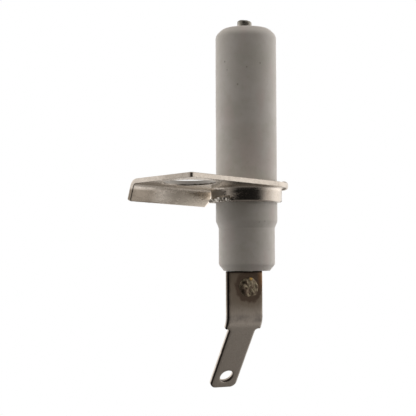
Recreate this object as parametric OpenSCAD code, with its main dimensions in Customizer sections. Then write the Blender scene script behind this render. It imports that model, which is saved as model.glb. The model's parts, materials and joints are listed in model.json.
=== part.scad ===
// Ignition electrode of a gas or oil burner, in millimetres.
// Frame: +Z runs up the ceramic axis towards the spark tip, and the fixing tab points to -Y.
// Origin: on the ceramic axis at the foot of the barrel, just clear of the flange's upper face.

/* [Ceramic insulator] */
// Radius of the barrel above the flange
barrel_r = 5.05; // [4.5:0.05:5.5]
// Height of the full-size barrel above the origin
barrel_h = 24.3; // [12:0.1:40]
// Height of the sloping shoulder at the spark end
crown_h = 1.15; // [0.5:0.05:2]
// Radius of the flat face at the spark end
crown_r = 3.85; // [3.2:0.05:4.2]
// Radius of the body that the flange collar grips
seat_r = 5.1; // [5:0.05:5.8]
// Depth of that body below the origin
seat_h = 6.55; // [5.5:0.05:12]
// Radius of the cement groove between barrel and seat
groove_r = 4.7; // [4.2:0.05:4.8]
// Height of the cement groove
groove_h = 0.9; // [0.7:0.05:1.1]
// Height of the taper under the collar
taper_h = 1.1; // [0.5:0.1:3]
// Radius of the neck at the terminal end
neck_r = 4.65; // [4.2:0.05:5]
// Depth of the neck's lower end below the origin
neck_bottom = 13.65; // [10:0.05:20]
// Height of the sloping shoulder at the terminal end
foot_h = 1.05; // [0.5:0.05:2]
// Radius of the flat face at the terminal end
foot_r = 3.8; // [3.2:0.1:4.2]
// Radius of the bore through the ceramic
bore_r = 1.45; // [1.42:0.01:1.8]
// Radius of the cement pocket at each end of the bore
pocket_r = 2.2; // [1.9:0.1:2.8]
// Depth of the upper cement pocket
upper_pocket_h = 3; // [1:0.5:6]
// Depth of the lower cement pocket
lower_pocket_h = 4; // [1:0.5:6]

/* [Electrode rod] */
// Radius of the electrode rod
rod_r = 1.2; // [1:0.05:1.2]
// How far the spark tip stands out of the ceramic
tip_h = 1.45; // [1:0.05:40]
// Size of the worn edge round the spark tip
tip_wear = 0.25; // [0.1:0.05:0.5]
// How far off the bore's centre line the rod has set
rod_offset = 0.2; // [0:0.01:0.2]
// Length of the rod behind the terminal blade
rod_tail = 5.4; // [4:0.1:6]

/* [Terminal blade] */
// Thickness of the blade strip
blade_t = 0.8; // [0.5:0.1:1]
// Width of the blade at the weld
blade_w = 6.6; // [5.5:0.1:8]
// Width of the push-on tongue
tongue_w = 4.8; // [4.5:0.1:5.2]
// Turn of the blade's front face about the ceramic axis, away from -Y
blade_turn = 71.3; // [0:0.1:180]
// Length of the straight blade from the ceramic to its bend
blade_straight = 7.3; // [6.8:0.05:12]
// Inside radius of the blade's bend
blade_bend_r = 2.7; // [1.5:0.1:4]
// Angle of the blade's bend
blade_bend = 35.3; // [0:0.1:60]
// Length of full-width blade past the bend
shoulder_run = 0.3; // [0.2:0.1:2]
// Length of the tongue below the shoulders
tongue_len = 12.5; // [9:0.05:18]
// Distance from the tongue's end to its latching hole
latch_inset = 2.5; // [2:0.05:4]
// Radius of the latching hole
latch_r = 1.2; // [0.8:0.05:1.5]
// Radius of the tongue's corners
tongue_corner = 1.1; // [0.5:0.1:1.5]
// Radius of the fillets under the shoulders
shoulder_fillet = 0.5; // [0.2:0.1:0.8]
// Sideways shift of the blade on the rod
blade_shift = -0.72; // [-0.8:0.01:0]
// Gap between the ceramic and the top of the blade
blade_gap = 0.1; // [0.05:0.05:0.5]

/* [Weld] */
// Radius of the fused weld between blade and rod
weld_r = 1.1; // [0.8:0.1:1.3]
// How far the weld stands proud of the blade
weld_proud = 0.12; // [0.05:0.01:0.3]
// Depth of the weld's centre below the blade's top
weld_drop = 2.6; // [2:0.1:3.5]

/* [Mounting flange] */
// Thickness of the flange sheet
sheet_t = 0.8; // [0.6:0.1:1.2]
// Half-width of the flange, and radius of its round end
flange_r = 6.8; // [6.6:0.1:9]
// Length of the tab from the ceramic axis to its end
tab_len = 19.95; // [18:0.05:30]
// Radius of the tab's outer corner
tab_corner = 0.4; // [0.2:0.1:2]
// Radius of the fixing hole
hole_r = 4.25; // [2.5:0.05:4.4]
// Distance of the fixing hole from the ceramic axis
hole_reach = 14.3; // [11:0.1:15]
// Distance of the fixing hole from the tab's centre line, away from the lip
hole_shift = 0.75; // [0:0.05:1]
// Depth of the stiffening lip below the sheet
lip_h = 2.75; // [1.5:0.05:5]
// Inside radius of the lip's bend
lip_bend_r = 0.6; // [0.3:0.1:1]
// Angle through which the lip is bent down
lip_turn = 72; // [60:0.5:89.5]
// Distance of the lip's inner end from the ceramic axis, on its inner face
lip_start = 2.35; // [2.2:0.05:5]
// Angle at which that end is sheared through the sheet
lip_shear = 60; // [0:1:65]
// Set of the sheet across the tab, the plain edge being raised
flange_roll = 1.9; // [0:0.1:3]
// Set of the sheet along the tab, the tab's end being raised
flange_pitch = 1.6; // [0:0.1:3]

/* [Drawn collar] */
// Outer radius of the collar
collar_r = 5.85; // [5.6:0.05:6.2]
// Depth of the collar's lower rim below the origin
collar_bottom = 3.4; // [2.4:0.1:5]
// Radius where the collar runs into the sheet
collar_fillet = 0.35; // [0.1:0.05:0.4]
// Chamfer round the collar's lower rim
rim_chamfer = 0.15; // [0.05:0.05:0.25]
// Thickness of the cement film inside the collar
cement_t = 0.1; // [0.05:0.05:0.2]

/* [Hidden] */
$fn = 96;
eps = 0.5;                                     // overrun of a cutting solid
sheet_top = -0.4;                              // sheet's upper face on the ceramic axis
cement_top = sheet_top - 0.2;                  // cement stops inside the sheet's thickness
cement_bottom = -collar_bottom + 0.1;          // and just above the collar's rim
ceramic_top = barrel_h + crown_h;
ceramic_bottom = -neck_bottom - foot_h;
collar_bore_r = seat_r + cement_t;
collar_root = sheet_top - 0.35;                // the collar's wall ends inside the sheet
sheet_under = sheet_top - sheet_t;             // sheet's lower face on the ceramic axis
lip_outer_r = lip_bend_r + sheet_t;
lip_bend_x = -flange_r + lip_outer_r;          // where the lip's bend starts
lip_run = (sheet_t + lip_h - lip_outer_r + lip_bend_r * cos(lip_turn)) / sin(lip_turn);
rod_turn = 133.2;                              // direction in which the rod has set off centre
rod_x = -rod_offset * sin(rod_turn);
rod_y = rod_offset * cos(rod_turn);
blade_top = ceramic_bottom - blade_gap;
bend_z = blade_top - blade_straight;           // height at which the bend starts
bend_front_r = blade_bend_r + blade_t;
past_bend = shoulder_run + tongue_len;
bend_steps = 16;                               // flats that make up the bend
weld_z = blade_top - weld_drop;

// Rod-shaped space on the rod's own axis, from z0 up to z1
module on_rod(z0, z1, r) {
    translate([rod_x, rod_y, z0]) cylinder(r = r, h = z1 - z0);
}

// Everything that lies outside a quarter circle of radius r in the corner at the origin.
// The corner points along [dx, dy].
module outside_corner(dx, dy, r) difference() {
    square(2 * r, center = true);
    translate([-dx, -dy] * r) circle(r = r);
}

// Ceramic tube: crowned barrel, cement groove, collar seat, taper and neck.
// It is bored through, with a cement pocket at each end.
module ceramic_insulator() color("#cfc8bf") difference() {
    rotate_extrude() polygon([
        [0, ceramic_top], [crown_r, ceramic_top], [barrel_r, barrel_h], [barrel_r, 0],
        [groove_r, 0], [groove_r, -groove_h], [seat_r, -groove_h], [seat_r, -seat_h],
        [neck_r, -seat_h - taper_h], [neck_r, -neck_bottom], [foot_r, ceramic_bottom],
        [0, ceramic_bottom]]);
    translate([0, 0, ceramic_bottom - eps])
        cylinder(r = bore_r, h = ceramic_top - ceramic_bottom + 2 * eps);
    translate([0, 0, ceramic_top - upper_pocket_h]) cylinder(r = pocket_r, h = upper_pocket_h + eps);
    translate([0, 0, ceramic_bottom - eps]) cylinder(r = pocket_r, h = lower_pocket_h + eps);
}

// Electrode rod: round, worn at the spark tip, with a flat at the tail where the blade lies
module electrode_rod() color("#6f6c66") {
    tip_z = ceramic_top + tip_h;
    tail_z = blade_top - rod_tail;
    difference() {
        translate([rod_x, rod_y, 0]) rotate_extrude() polygon([
            [0, tail_z], [rod_r, tail_z], [rod_r, tip_z - tip_wear],
            [rod_r - tip_wear, tip_z], [0, tip_z]]);
        rotate([0, 0, blade_turn]) translate([-blade_w / 2, -blade_w, tail_z - eps])
            cube([blade_w, blade_w, blade_top - tail_z + eps]);
    }
}

// Ring of cement in a pocket of the ceramic, from z0 up to z1, round the rod
module cement_ring(z0, z1) difference() {
    translate([0, 0, z0]) cylinder(r = pocket_r, h = z1 - z0);
    on_rod(z0 - eps, z1 + eps, rod_r);
}

module upper_cement_seal() color("#b9b2a6")
    cement_ring(ceramic_top - upper_pocket_h, ceramic_top - 0.1);

module lower_cement_seal() color("#b9b2a6")
    cement_ring(ceramic_bottom, ceramic_bottom + lower_pocket_h);

// Cement between the ceramic and the drawn collar: a thin film, and the filled groove above it
module collar_cement() color("#8d8880") rotate_extrude() polygon([
    [seat_r, cement_bottom], [collar_bore_r, cement_bottom], [collar_bore_r, cement_top],
    [groove_r, cement_top], [groove_r, -groove_h], [seat_r, -groove_h]]);

// The sheet's own frame: z = 0 is its upper face, and it is a little askew on the ceramic
module on_sheet() {
    translate([0, 0, sheet_top]) rotate([-flange_pitch, -flange_roll, 0]) children();
}

// Flat outline of the sheet up to the lip's bend, without its holes
module sheet_outline() {
    circle(r = flange_r);
    difference() {
        translate([lip_bend_x, -tab_len]) square([flange_r - lip_bend_x, tab_len]);
        translate([flange_r, -tab_len]) outside_corner(1, -1, tab_corner);
    }
}

// Cross-section of the lip about the centre of its bend: quarter-round stretch and straight run
module lip_section() {
    difference() {
        intersection() {
            circle(r = lip_outer_r);
            polygon([[0, 0], [0, lip_outer_r], [-lip_outer_r, lip_outer_r],
                [-lip_outer_r, lip_outer_r / tan(lip_turn)]]);
        }
        circle(r = lip_bend_r);
    }
    rotate(lip_turn) translate([-lip_run, lip_bend_r]) square([lip_run, sheet_t]);
}

// Lip bent down and outwards along the tab's -X side; its inner end is sheared on a slant
module lip() {
    reach = sheet_t * tan(lip_shear);
    big = 4 * lip_h;
    translate([lip_bend_x, 0, -lip_outer_r]) difference() {
        translate([0, -lip_start + reach, 0]) rotate([90, 0, 0])
            linear_extrude(height = tab_len - lip_start + reach) lip_section();
        rotate([0, -lip_turn, 0]) translate([0, -lip_start, lip_bend_r]) rotate([-lip_shear, 0, 0])
            translate([-big, 0, -big]) cube([2 * big, big, 2 * big]);
    }
}

// Collar drawn down out of the sheet, with a fillet at its root and a broken edge at its rim
module collar_ring() rotate_extrude() {
    difference() {
        translate([collar_bore_r, -collar_bottom])
            square([collar_r - collar_bore_r, collar_root + collar_bottom]);
        translate([collar_r, -collar_bottom]) rotate(45) square(rim_chamfer * sqrt(2), center = true);
    }
    difference() {
        translate([collar_r, sheet_under - collar_fillet])
            square([collar_fillet, collar_root - sheet_under + collar_fillet]);
        translate([collar_r + collar_fillet, sheet_under - collar_fillet]) circle(r = collar_fillet);
    }
}

// Stamped flange: tilted sheet with fixing hole and lip, and the collar coaxial with the ceramic
module mounting_flange() color("#c8bfb6") {
    difference() {
        on_sheet() difference() {
            union() {
                translate([0, 0, -sheet_t]) linear_extrude(height = sheet_t) sheet_outline();
                lip();
            }
            translate([hole_shift, -hole_reach, -sheet_t - eps])
                cylinder(r = hole_r, h = sheet_t + 2 * eps);
        }
        translate([0, 0, sheet_top - 2]) cylinder(r = collar_bore_r, h = 4);
    }
    collar_ring();
}

// The blade's own frame: its back face is y = 0, its front face looks to -Y
module on_blade() {
    rotate([0, 0, blade_turn]) translate([blade_shift, 0, 0]) children();
}

// The straight run past the bend: z = 0 is the bend's end, the front face is y = 0
module past_bend_frame() {
    translate([0, bend_front_r - blade_t, bend_z]) rotate([blade_bend, 0, 0])
        translate([0, -bend_front_r, 0]) children();
}

// Points of an arc about [cx, cy], from angle a0 to a1
function arc(cx, cy, r, a0, a1) =
    [for (i = [0 : bend_steps]) let(a = a0 + (a1 - a0) * i / bend_steps) [cx + r * cos(a), cy + r * sin(a)]];

// Side view of the whole strip: straight head, bend and straight run, as [y, z] points
module strip_profile() {
    run = [sin(blade_bend), -cos(blade_bend)];
    front = arc(blade_bend_r, bend_z, bend_front_r, 180, 180 + blade_bend);
    back = arc(blade_bend_r, bend_z, blade_bend_r, 180 + blade_bend, 180);
    polygon(concat([[0, blade_top], [-blade_t, blade_top]], front,
        [front[bend_steps] + past_bend * run, back[0] + past_bend * run], back));
}

// What is cut away beside the tongue, with a fillet under the shoulder: side is -1 or 1
module beside_tongue(side) {
    edge = side * tongue_w / 2;
    difference() {
        translate([edge + side * blade_w / 2, -shoulder_run - tongue_len / 2 - eps])
            square([blade_w, tongue_len + 2 * eps], center = true);
        translate([edge, -shoulder_run]) outside_corner(-side, 1, shoulder_fillet);
    }
    translate([edge, -past_bend]) outside_corner(side, -1, tongue_corner);
}

// Terminal blade: welded head, bend, and a push-on tongue with its latching hole
module terminal_blade() color("#8a8178") difference() {
    on_blade() difference() {
        translate([-blade_w / 2, 0, 0]) rotate([90, 0, 90]) linear_extrude(height = blade_w)
            strip_profile();
        past_bend_frame() rotate([90, 0, 0]) translate([0, 0, -blade_t - eps])
            linear_extrude(height = blade_t + 2 * eps) {
                for (side = [-1, 1]) beside_tongue(side);
                translate([0, -past_bend + latch_inset]) circle(r = latch_r);
            }
    }
    weld_space(eps);
}

// Space of the fused weld, from the rod's flat through the blade and a given height proud
module weld_space(proud) {
    rotate([0, 0, blade_turn]) translate([0, 0, weld_z]) rotate([90, 0, 0])
        cylinder(r = weld_r, h = blade_t + proud);
}

module weld_nugget() color("#7d7264") weld_space(weld_proud);

ceramic_insulator();
electrode_rod();
upper_cement_seal();
lower_cement_seal();
mounting_flange();
collar_cement();
terminal_blade();
weld_nugget();
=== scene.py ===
"""Ignition electrode: the looks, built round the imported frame.

Everything is in metres in the frame's own axes: +Z runs up the ceramic axis to the spark tip,
and the flange's tab points to -Y.  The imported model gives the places; this script adds rounded
edges, the drawn collar's torn rim, the fused weld, worn metal, cement and the materials.
"""

import json
from math import asin, atan2, cos, degrees, exp, hypot, pi, radians, sin, sqrt, tan

import bmesh
import bpy
import numpy as np
from mathutils import Matrix, Vector, noise
from mathutils.geometry import delaunay_2d_cdt


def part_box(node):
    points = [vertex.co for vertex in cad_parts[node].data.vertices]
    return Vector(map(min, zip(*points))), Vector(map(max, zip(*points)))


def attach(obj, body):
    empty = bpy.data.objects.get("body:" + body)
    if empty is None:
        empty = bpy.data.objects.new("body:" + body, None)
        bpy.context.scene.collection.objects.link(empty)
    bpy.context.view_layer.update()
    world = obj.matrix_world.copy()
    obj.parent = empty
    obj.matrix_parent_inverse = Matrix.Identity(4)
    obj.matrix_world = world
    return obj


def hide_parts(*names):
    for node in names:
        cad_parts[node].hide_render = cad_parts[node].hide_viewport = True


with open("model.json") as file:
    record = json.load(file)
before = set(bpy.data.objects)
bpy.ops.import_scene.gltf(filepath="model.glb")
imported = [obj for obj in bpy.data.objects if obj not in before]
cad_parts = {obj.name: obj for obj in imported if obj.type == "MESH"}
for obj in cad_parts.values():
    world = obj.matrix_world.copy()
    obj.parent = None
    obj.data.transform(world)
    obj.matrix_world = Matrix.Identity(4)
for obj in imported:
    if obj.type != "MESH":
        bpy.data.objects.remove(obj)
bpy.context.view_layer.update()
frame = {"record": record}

MM = 0.001
MOUNT = {m["name"]: m for m in frame["record"]["mounts"]}


def mount_size(name, key):
    return MOUNT[name]["dims"][key] * MM


# ---------------------------------------------------------------- places taken from the frame

CERAMIC_LOW, CERAMIC_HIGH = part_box("ceramic_insulator")
ROD_LOW, ROD_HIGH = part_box("electrode_rod")
UPPER_SEAL_LOW, UPPER_SEAL_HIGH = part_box("upper_cement_seal")
LOWER_SEAL_LOW, LOWER_SEAL_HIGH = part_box("lower_cement_seal")
COLLAR_CEMENT_LOW, COLLAR_CEMENT_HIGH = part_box("collar_cement")
WELD_LOW, WELD_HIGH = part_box("weld_nugget")

SEAT_R = CERAMIC_HIGH.x
BARREL_R = mount_size("ceramic_barrel", "r_mm")
BARREL_TOP = mount_size("ceramic_barrel", "length_mm")
POCKET_R = UPPER_SEAL_HIGH.x
ROD_R = (ROD_HIGH.x - ROD_LOW.x) / 2
ROD_X = (ROD_LOW.x + ROD_HIGH.x) / 2
ROD_Y = (ROD_LOW.y + ROD_HIGH.y) / 2
COLLAR_BORE_R = COLLAR_CEMENT_HIGH.x
SHEET_T = mount_size("fixing_hole", "length_mm")
BLADE_T = mount_size("latch_hole", "length_mm")

# The camera stands this far round from -Y; right means the right of its view
VIEW_TURN = radians(43.2)
TO_CAMERA = Vector((sin(VIEW_TURN), -cos(VIEW_TURN), 0))
TO_RIGHT = Vector((cos(VIEW_TURN), sin(VIEW_TURN), 0))

# ---------------------------------------------------------------- sizes that the frame doesn't name

CROWN_R = 3.85 * MM
NECK_R = 4.65 * MM
NECK_BOTTOM = -13.65 * MM
FOOT_R = 3.8 * MM
SEAT_BOTTOM = -6.55 * MM
TAPER_BOTTOM = -7.65 * MM
GROOVE_R = 4.7 * MM
GROOVE_BOTTOM = -0.9 * MM
BORE_R = 1.45 * MM

# Radii are of the plain sheet; the lip's height is below the sheet's lower face
FLANGE_R = 6.8 * MM
TAB_LEN = 19.95 * MM
LIP_H = 2.75 * MM
LIP_BEND_R = 0.6 * MM
LIP_TURN = radians(72)
COLLAR_R = 5.85 * MM
COLLAR_FILLET = 0.5 * MM
COLLAR_DRAW_R = 0.45 * MM
COLLAR_RIM = -3.45 * MM
COLLAR_SEGMENTS = 180

BLADE_W = 6.6 * MM
TONGUE_W = 4.8 * MM
BLADE_SHIFT = -0.72 * MM
BLADE_STRAIGHT = 7.3 * MM
BLADE_BEND_R = 2.7 * MM
BLADE_GAP = 0.1 * MM
SHOULDER_RUN = 0.3 * MM
TONGUE_LEN = 12.5 * MM
TONGUE_EXTRA = 0.08 * MM
BLADE_RISE = 0.08 * MM

# Burr on the edge of the round end: direction, distance from the axis, height and spread
KNOB_AT = radians(38)
KNOB_REACH = 6.35 * MM
KNOB_H = 0.42 * MM
KNOB_R = 0.62 * MM

# The slit that frees the lip from the round end, and how far the lip reaches past it
SLIT_Y = -1.5 * MM
LIP_REACH_RUN = 1.41 * MM
LIP_REACH_Y = -0.5 * MM

# The lip's sheared end on its two faces: run past the bend line, y and corner radius, in millimetres
OUTER_END = ((0.3, -1.55, 0), (1.0, -1.55, 0), (1.36, -1.52, 0), (1.45, -0.72, 0.1), (2.5, -0.72, 0.5))
INNER_END = ((0.3, -1.6, 0), (1.0, -1.7, 0), (1.36, -2.25, 0), (1.45, -2.1, 0.1), (2.5, -2.1, 0.5))

# Rings of the collar below its fillets: share of the way down to the rim, and offset in millimetres
COLLAR_WALL = ((0.15, 0), (0.3, 0), (0.42, 0), (0.5, 0), (0.57, 0), (0.64, 0), (0.70, 0), (0.75, -0.005),
               (0.80, 0), (0.84, -0.005), (0.88, -0.015), (0.92, -0.045), (0.955, -0.10), (0.985, -0.19),
               (1.0, -0.34))
COLLAR_BORE_WALL = ((0.3, 0), (0.6, 0), (0.9, 0), (1.0, 0.03))

# The torn part of the rim: degrees from -Y where it starts and ends, and the fade at either end
TEAR_START = -60
TEAR_START_FADE = 10
TEAR_END = 20
TEAR_END_FADE = 7


# ---------------------------------------------------------------- outline helpers

def arc(cx, cy, r, a0, a1, steps):
    """Points of a round stretch from angle a0 to a1, in degrees."""
    angles = [radians(a0 + (a1 - a0) * i / steps) for i in range(steps + 1)]
    return [(cx + r * cos(a), cy + r * sin(a)) for a in angles]


def rounded(corners, closed=True, steps=6):
    """The polyline through corners, each given as (x, y, radius), with its corners rounded."""
    out = []
    n = len(corners)
    for i, (x, y, r) in enumerate(corners):
        if r <= 0 or (not closed and i in (0, n - 1)):
            out.append((x, y))
            continue
        p = Vector((x, y))
        a = (Vector(corners[i - 1][:2]) - p).normalized()
        b = (Vector(corners[(i + 1) % n][:2]) - p).normalized()
        half = a.angle(b) / 2
        centre = p + (a + b).normalized() * (r / sin(half))
        start, end = p + a * (r / tan(half)), p + b * (r / tan(half))
        from_c, to_c = start - centre, end - centre
        turn = from_c.angle_signed(to_c)
        for k in range(steps + 1):
            v = from_c.copy()
            v.rotate(Matrix.Rotation(-turn * k / steps, 2))
            out.append(tuple(centre + v))
    return out


def resample(points, gap, closed=True):
    """The same outline with a point at least every gap, and its own corners kept."""
    out = []
    n = len(points)
    for i in range(n if closed else n - 1):
        p, q = Vector(points[i]), Vector(points[(i + 1) % n])
        length = (q - p).length
        if length < gap * 1e-3:
            continue
        parts = max(1, round(length / gap))
        out += [tuple(p.lerp(q, k / parts)) for k in range(parts)]
    if not closed:
        out.append(tuple(points[-1]))
    return out


def circle(cx, cy, r, count):
    return [(cx + r * cos(2 * pi * i / count), cy + r * sin(2 * pi * i / count)) for i in range(count)]


def inward_normals(loop):
    """Unit normals to the left of a closed loop: inside it if it runs anticlockwise."""
    p = np.array(loop)
    along = np.roll(p, -1, axis=0) - np.roll(p, 1, axis=0)
    along /= np.linalg.norm(along, axis=1)[:, None]
    return np.stack([-along[:, 1], along[:, 0]], axis=1)


# ---------------------------------------------------------------- mesh building

class Shell:
    """Collects vertices and faces of one closed mesh."""

    def __init__(self):
        self.verts = []
        self.faces = []
        self.cut = []

    def ring(self, points, cut=0.0):
        """Adds points.  cut tells materials how deep in a sheet's edge they lie, 0 to 1."""
        first = len(self.verts)
        self.verts += [tuple(p) for p in points]
        self.cut += [cut] * (len(self.verts) - first)
        return list(range(first, len(self.verts)))

    def bridge(self, a, b):
        """Quads between two closed rings of equal length."""
        n = len(a)
        self.faces += [(a[i], a[(i + 1) % n], b[(i + 1) % n], b[i]) for i in range(n)]

    def bridge_all(self, rings, closed=False):
        """Bridges each ring to the next, and the last to the first if closed."""
        for a, b in zip(rings, rings[1:] + rings[:1] if closed else rings[1:]):
            self.bridge(a, b)

    def cap(self, ring):
        """Closes a ring with a fan of triangles about its middle."""
        n = len(ring)
        tip = self.ring([sum((Vector(self.verts[i]) for i in ring), Vector()) / n])[0]
        self.faces += [(tip, ring[i], ring[(i + 1) % n]) for i in range(n)]

    def mesh_object(self, name, node, material, smooth_angle=40):
        mesh = bpy.data.meshes.new(name)
        mesh.from_pydata(self.verts, [], self.faces)
        shape = bmesh.new()
        shape.from_mesh(mesh)
        bmesh.ops.recalc_face_normals(shape, faces=shape.faces)
        shape.to_mesh(mesh)
        shape.free()
        mesh.attributes.new("cut", "FLOAT", "POINT").data.foreach_set("value", self.cut)
        piece = bpy.data.objects.new(name, mesh)
        bpy.context.scene.collection.objects.link(piece)
        mesh.materials.append(material)
        mesh.shade_smooth()
        mesh.set_sharp_from_angle(angle=radians(smooth_angle))
        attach(piece, "root")
        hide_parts(node)
        return piece


def lathe(shell, profile, segments, shape=None, centre=(0, 0), closed=True):
    """Turns an (r, z) profile about an upright axis.  shape(r, z, angle) may move a point.

    A closed profile makes a tube; an open one is closed by a point on the axis at either end.
    """
    rings = []
    for r, z in profile:
        points = []
        for i in range(segments):
            angle = 2 * pi * i / segments
            rr, zz = shape(r, z, angle) if shape else (r, z)
            points.append((centre[0] + rr * cos(angle), centre[1] + rr * sin(angle), zz))
        rings.append(shell.ring(points))
    shell.bridge_all(rings, closed)
    if not closed:
        shell.cap(rings[0])
        shell.cap(rings[-1])


def inside(points, loops):
    """Which points lie inside the first loop and outside the others."""
    hit = np.zeros(len(points), bool)
    for loop in loops:
        p = np.array(loop)
        for (x0, y0), (x1, y1) in zip(p, np.roll(p, -1, axis=0)):
            crosses = (y0 > points[:, 1]) != (y1 > points[:, 1])
            if y0 != y1:
                hit ^= crosses & (points[:, 0] < (x1 - x0) * (points[:, 1] - y0) / (y1 - y0) + x0)
    return hit


def fill(shell, outlines, place, gap, cut=0.0):
    """Fills the flat region inside the first outline and outside the others with fine triangles.

    An outline is (ring, loop): the shell's vertex numbers and their flat points.
    """
    ids = [i for ring, _ in outlines for i in ring]
    loops = [loop for _, loop in outlines]
    border = np.array([p for loop in loops for p in loop])
    edges = []
    for loop in loops:
        first, n = len(edges), len(loop)
        edges += [(first + i, first + (i + 1) % n) for i in range(n)]
    low, high = border.min(axis=0), border.max(axis=0)
    rows = np.arange(low[1] + gap / 2, high[1], gap)
    columns = np.arange(low[0] + gap / 2, high[0], gap)
    grid = np.array([(x + gap / 2 * (j % 2), y) for j, y in enumerate(rows) for x in columns])
    near = np.array([np.min(np.hypot(*(border - g).T)) for g in grid])
    inner = grid[inside(grid, loops) & (near > gap * 0.6)]
    points = [Vector(p) for p in np.concatenate([border, inner])]
    verts, _, faces, sources, _, _ = delaunay_2d_cdt(points, edges, [], 0, 1e-9)
    centres = np.array([sum((verts[i] for i in f), Vector((0, 0))) / 3 for f in faces])
    index = []
    for v, source in zip(verts, sources):
        known = [s for s in source if s < len(ids)]
        index.append(ids[known[0]] if known else shell.ring([place(v.x, v.y)], cut)[0])
    shell.faces += [tuple(index[i] for i in f) for f, ok in zip(faces, inside(centres, loops)) if ok]


def edge_profile(thickness, upper_r, lower_r, steps=5):
    """(inset, depth) steps from the upper face round a sheet's edge to its lower face."""
    quarter = [pi / 2 * k / steps for k in range(steps + 1)]
    top = [(upper_r * (1 - sin(a)), upper_r * (1 - cos(a))) for a in quarter]
    wall = [(0, upper_r + (thickness - upper_r - lower_r) * k / 4) for k in range(1, 4)]
    foot = [(lower_r * (1 - sin(a)), thickness - lower_r * (1 - cos(a))) for a in quarter[::-1]]
    return top + wall + foot


def sheet_edge(shell, upper, lower, thickness, radii, place, wall_noise=0.0):
    """Rounded edge between the upper and lower outline of a sheet.

    Gives ((ring, flat loop) at the upper face, (ring, flat loop) at the lower face).
    """
    up, low = np.array(upper), np.array(lower)
    up_n, low_n = inward_normals(upper), inward_normals(lower)
    rings = []
    loops = []
    for inset, depth in edge_profile(thickness, *radii):
        w = depth / thickness
        loop = (up + up_n * inset) * (1 - w) + (low + low_n * inset) * w
        if wall_noise and 0 < inset + depth < thickness:
            rough = [noise.noise(Vector((x, y, depth)) / (0.25 * MM)) * wall_noise for x, y in loop]
            loop = loop - (up_n * (1 - w) + low_n * w) * np.array(rough)[:, None]
        loops.append([tuple(p) for p in loop])
        rings.append(shell.ring([place(x, y, depth) for x, y in loops[-1]], w))
    shell.bridge_all(rings)
    return (rings[0], loops[0]), (rings[-1], loops[-1])


def fbm(p, size, octaves=3):
    """Smooth seeded noise at point p, about -1 to 1, with features of the given size."""
    return noise.fractal(Vector(p) / size, 1.0, 2.0, octaves)


# ---------------------------------------------------------------- where the sheet and the blade lie

SHEET_NORMAL = Vector(MOUNT["fixing_hole"]["axis"])
SHEET_SEAT = Vector(MOUNT["flange_seat"]["pos_m"])
SHEET_TOP = SHEET_NORMAL.dot(SHEET_SEAT) / SHEET_NORMAL.z
SHEET_TILT = (Matrix.Rotation(atan2(SHEET_NORMAL.x, SHEET_NORMAL.z), 3, "Y")
              @ Matrix.Rotation(-asin(SHEET_NORMAL.y), 3, "X"))
SHEET_FROM_ROW = SHEET_TILT.transposed()
HOLE_R = mount_size("fixing_hole", "r_mm")
HOLE_ROW = Vector(MOUNT["fixing_hole"]["pos_m"])
HOLE_AT = SHEET_FROM_ROW @ (HOLE_ROW - Vector((0, 0, SHEET_TOP)))

BLADE_NORMAL = Vector(MOUNT["latch_hole"]["axis"])
BLADE_BEND = asin(-BLADE_NORMAL.z)
BLADE_TURN = atan2(BLADE_NORMAL.x, -BLADE_NORMAL.y)
BLADE_FROM_ROW = Matrix.Rotation(-BLADE_TURN, 3, "Z")
BLADE_TO_ROW = Matrix.Rotation(BLADE_TURN, 3, "Z")
BLADE_TOP = CERAMIC_LOW.z - BLADE_GAP
LATCH_R = mount_size("latch_hole", "r_mm")
LATCH_INSET = (Vector(MOUNT["latch_hole"]["pos_m"]) - Vector(MOUNT["push_on_tab"]["pos_m"])).length
BLADE_ACROSS = BLADE_TO_ROW @ Vector((1, 0, 0))
BLADE_BEHIND = BLADE_TO_ROW @ Vector((0, 1, 0))
WELD_Z = (WELD_LOW.z + WELD_HIGH.z) / 2
WELD_R = (WELD_HIGH.z - WELD_LOW.z) / 2
WELD_WIDE = WELD_R * 1.75
WELD_TALL = WELD_R * 1.55
WELD_AT = Vector((0, 0, WELD_Z)) - BLADE_BEHIND * BLADE_T
WELD_GLINT_AT = WELD_AT + BLADE_ACROSS * 0.3 * MM + Vector((0, 0, 1.45)) * MM - BLADE_BEHIND * 0.15 * MM
TINT_AT = WELD_AT + Vector((0, 0, 0.1)) * MM

LIP_BEND_X = -FLANGE_R + LIP_BEND_R + SHEET_T
LIP_OUTER_R = LIP_BEND_R + SHEET_T
LIP_MID_R = LIP_BEND_R + SHEET_T / 2
LIP_ARC = LIP_MID_R * LIP_TURN
LIP_DROP = (SHEET_T + LIP_H - LIP_OUTER_R + LIP_BEND_R * cos(LIP_TURN)) / sin(LIP_TURN)
LIP_LENGTH = LIP_ARC + LIP_DROP

BEND_MID_R = BLADE_BEND_R + BLADE_T / 2
BEND_RUN = BEND_MID_R * BLADE_BEND
SHOULDER_AT = BLADE_STRAIGHT + BEND_RUN + SHOULDER_RUN
BLADE_END = SHOULDER_AT + TONGUE_LEN


# ---------------------------------------------------------------- material nodes

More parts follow.
